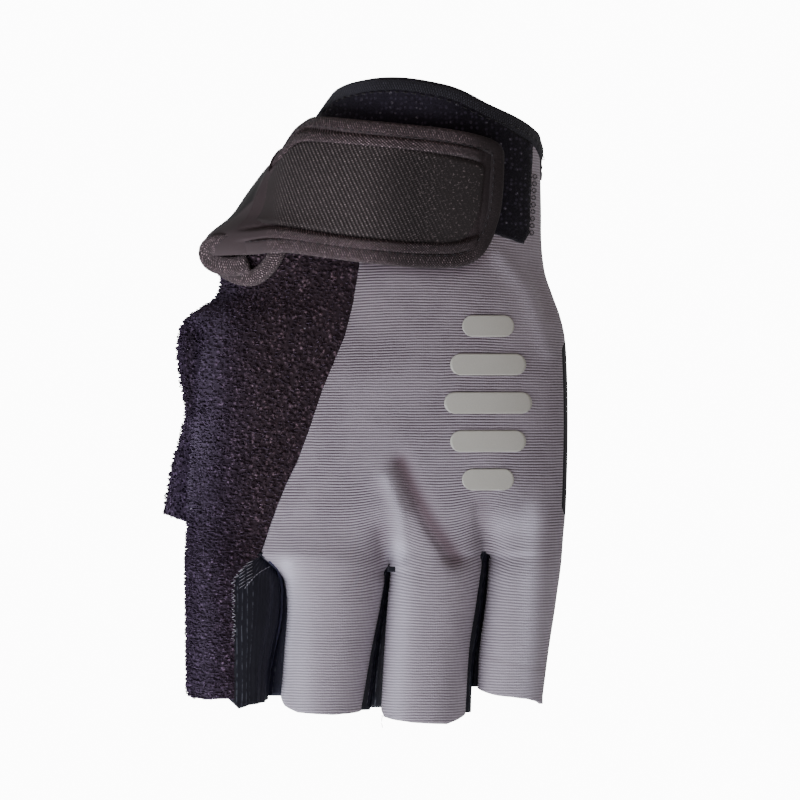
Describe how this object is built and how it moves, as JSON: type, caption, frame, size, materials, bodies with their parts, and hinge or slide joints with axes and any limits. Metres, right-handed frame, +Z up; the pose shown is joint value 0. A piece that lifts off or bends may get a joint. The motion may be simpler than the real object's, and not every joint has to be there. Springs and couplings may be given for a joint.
{
  "type": "half-finger cycling glove",
  "caption": "Left-hand half-finger cycling glove with ribbed knit back, terry thumb side, lycra finger sides and a wrist strap with hook and loop.",
  "frame": {"origin": "middle of the wrist opening", "axes": "+Z up out of the wrist, fingers along -Z; back of the hand faces -Y, palm +Y; thumb on the -X side"},
  "size_m": [0.1035, 0.0686, 0.1613],
  "materials": {
    "grey_knit": "fine ribbed knit, ribs across the hand",
    "terry": "looped terry towelling",
    "palm_leather": "matt synthetic suede",
    "lycra": "smooth stretch fabric with a soft sheen",
    "tape": "woven binding tape",
    "webbing": "speckled plain weave",
    "hook_and_loop": "fuzzy hook and loop",
    "reflective": "smooth satin reflective film"
  },
  "bodies": {
    "root": {"back_panel": "grey_knit", "terry_panel": "terry", "thumb_terry": "terry", "palm_panel": "palm_leather", "thumb_palm": "palm_leather", "fourchette_index_middle": "lycra", "fourchette_middle_ring": "lycra", "fourchette_ring_little": "lycra", "cuff_binding": "tape", "slit_binding": "tape", "strap_binding": "tape", "strap": "tape", "strap_face": "webbing", "loop_patch": "hook_and_loop", "hook_patch": "hook_and_loop", "bar_1": "reflective", "bar_2": "reflective", "bar_3": "reflective", "bar_4": "reflective", "bar_5": "reflective"}
  },
  "joints": []
}
